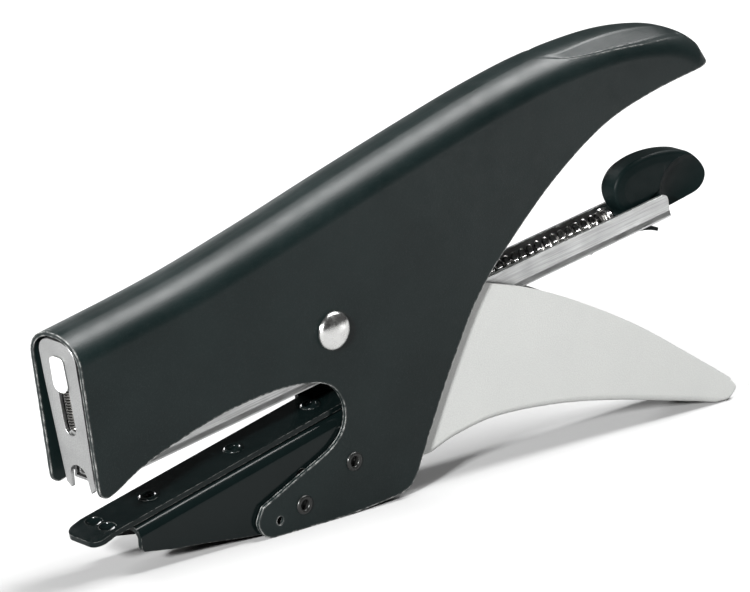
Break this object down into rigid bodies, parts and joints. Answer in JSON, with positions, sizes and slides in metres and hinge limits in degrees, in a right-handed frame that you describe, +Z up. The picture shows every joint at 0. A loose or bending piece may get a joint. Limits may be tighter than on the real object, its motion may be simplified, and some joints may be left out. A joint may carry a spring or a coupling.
{
  "type": "plier stapler",
  "caption": "Hand plier stapler: pressed black shell with a riveted anvil arm, pale squeezed lower handle, and a rear-loading magazine that closes on the anvil as a fork drives the staple.",
  "frame": {"origin": "middle of the underside of the bounding box; the belly of the shell and the tip of the lower handle stand on z = 0", "axes": "+X from the staple head to the handle ends, +Y across the stapler, +Z up"},
  "size_m": [0.1672, 0.0176, 0.079],
  "materials": {
    "black_paint": "satin black powder paint with a fine grain",
    "black_gloss": "gloss black enamel",
    "grey_paint": "pale warm grey powder paint with a fine grain",
    "bright_steel": "polished nickel-plated steel",
    "brushed_steel": "zinc-plated sheet, drawn lengthwise",
    "dark_steel": "blackened steel",
    "spring_steel": "oiled spring wire",
    "white_plastic": "white moulded plastic",
    "black_plastic": "fine matt moulded black"
  },
  "bodies": {
    "root": {"body_shell": "black_paint", "main_pivot_rivet": "bright_steel", "pivot_sleeve": "dark_steel", "handle_torsion_spring": "spring_steel", "anvil_plate": "black_gloss", "anvil_arm": "black_gloss", "anvil_rivet_front": "black_gloss", "anvil_rivet_middle": "black_gloss", "anvil_rivet_rear": "black_gloss", "jaw_rivet_front": "dark_steel", "jaw_rivet_rear": "dark_steel"},
    "lever": {"lower_handle": "grey_paint", "drive_arm": "dark_steel", "arm_rivet": "dark_steel", "drive_nose": "white_plastic"},
    "magazine": {"magazine_channel": "brushed_steel", "staple_rail": "brushed_steel", "front_plate": "brushed_steel", "return_spring": "spring_steel", "catch_pin": "bright_steel"},
    "driver": {"driver_blade": "bright_steel"},
    "loader": {"thumb_knob": "black_plastic", "guide_rod": "bright_steel", "pusher_spring": "spring_steel", "spring_seat": "bright_steel"},
    "pusher": {"follower": "dark_steel"},
    "catch": {"release_catch": "black_plastic"}
  },
  "joints": [
    {"name": "handle_squeeze", "type": "hinge", "parent": "root", "child": "lever", "pos_m": [-0.0241, 0, 0.03627], "axis": [0, -1, 0], "range_deg": [0, 15], "stiffness_Nm_per_rad": 1.2, "springref_deg": -20.05, "deforming": ["handle_torsion_spring"]},
    {"name": "magazine_swing", "type": "hinge", "parent": "root", "child": "magazine", "pos_m": [-0.0241, 0, 0.03627], "axis": [0, -1, 0], "range_deg": [0, 8.4]},
    {"name": "driver_stroke", "type": "slide", "parent": "magazine", "child": "driver", "axis": [0.1941, 0, -0.981], "range_m": [0, 0.0066], "deforming": ["return_spring"]},
    {"name": "loader_pull", "type": "slide", "parent": "magazine", "child": "loader", "axis": [0.9876, 0, 0.1571], "range_m": [0, 0.095]},
    {"name": "follower_slide", "type": "slide", "parent": "loader", "child": "pusher", "axis": [0.9876, 0, 0.1571], "range_m": [0, 0.085], "stiffness_N_per_m": 40, "springref_m": -0.06, "deforming": ["pusher_spring"]},
    {"name": "catch_release", "type": "hinge", "parent": "magazine", "child": "catch", "pos_m": [0.047, 0, 0.03614], "axis": [0, 1, 0], "range_deg": [0, 7], "stiffness_Nm_per_rad": 0.02, "springref_deg": -17.19}
  ],
  "couplings": [
    {"joint": "magazine_swing", "follows": "handle_squeeze", "ratio": 0.56},
    {"joint": "driver_stroke", "follows": "handle_squeeze", "m_per_rad": 0.0252}
  ]
}
